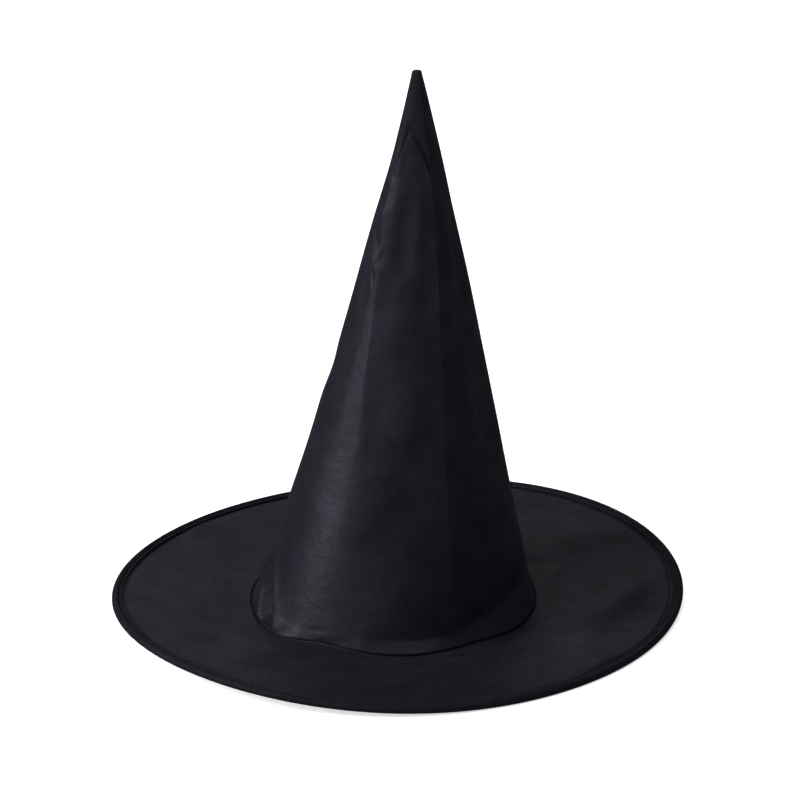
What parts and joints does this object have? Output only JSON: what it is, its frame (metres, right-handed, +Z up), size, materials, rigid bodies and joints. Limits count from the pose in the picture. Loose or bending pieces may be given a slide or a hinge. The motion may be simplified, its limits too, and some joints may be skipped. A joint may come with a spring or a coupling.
{
  "type": "witch hat",
  "caption": "Pointed cloth hat with a tall leaning cone and a wide round brim kept open by a hoop in its bound edge.",
  "frame": {"origin": "middle of the brim, on the surface the hat stands on", "axes": "+Z up along the cone, -Y to the hat's front, +X to the right of someone looking at its front"},
  "size_m": [0.33, 0.33, 0.34],
  "materials": {
    "cloth": "black polyester Oxford cloth with a slight sheen",
    "interlining": "black stiff non-woven, matte",
    "tape": "black woven tape, satin",
    "thread": "black polyester sewing thread",
    "spring_steel": "bright drawn spring-steel wire",
    "sleeve_brass": "crimped brass tube"
  },
  "bodies": {
    "hat": {"crown_cone": "cloth", "crown_crease": "cloth", "crown_interlining": "interlining", "crown_seam_tape": "tape", "back_seam_thread": "thread", "brim_top_cloth": "cloth", "brim_interlining": "interlining", "brim_under_cloth": "cloth", "edge_binding": "tape", "brim_hoop": "spring_steel", "hoop_sleeve": "sleeve_brass", "head_band": "tape", "edge_needle_thread": "thread", "edge_bobbin_thread": "thread", "crown_joint_thread": "thread", "head_band_thread": "thread"},
    "tip": {"crown_tip": "cloth"}
  },
  "joints": [
    {"name": "tip_bend", "type": "hinge", "parent": "hat", "child": "tip", "pos_m": [0.01604, -0.01825, 0.288], "axis": [0, 1, 0], "range_deg": [-80, 80], "deforming": ["crown_crease"]}
  ]
}
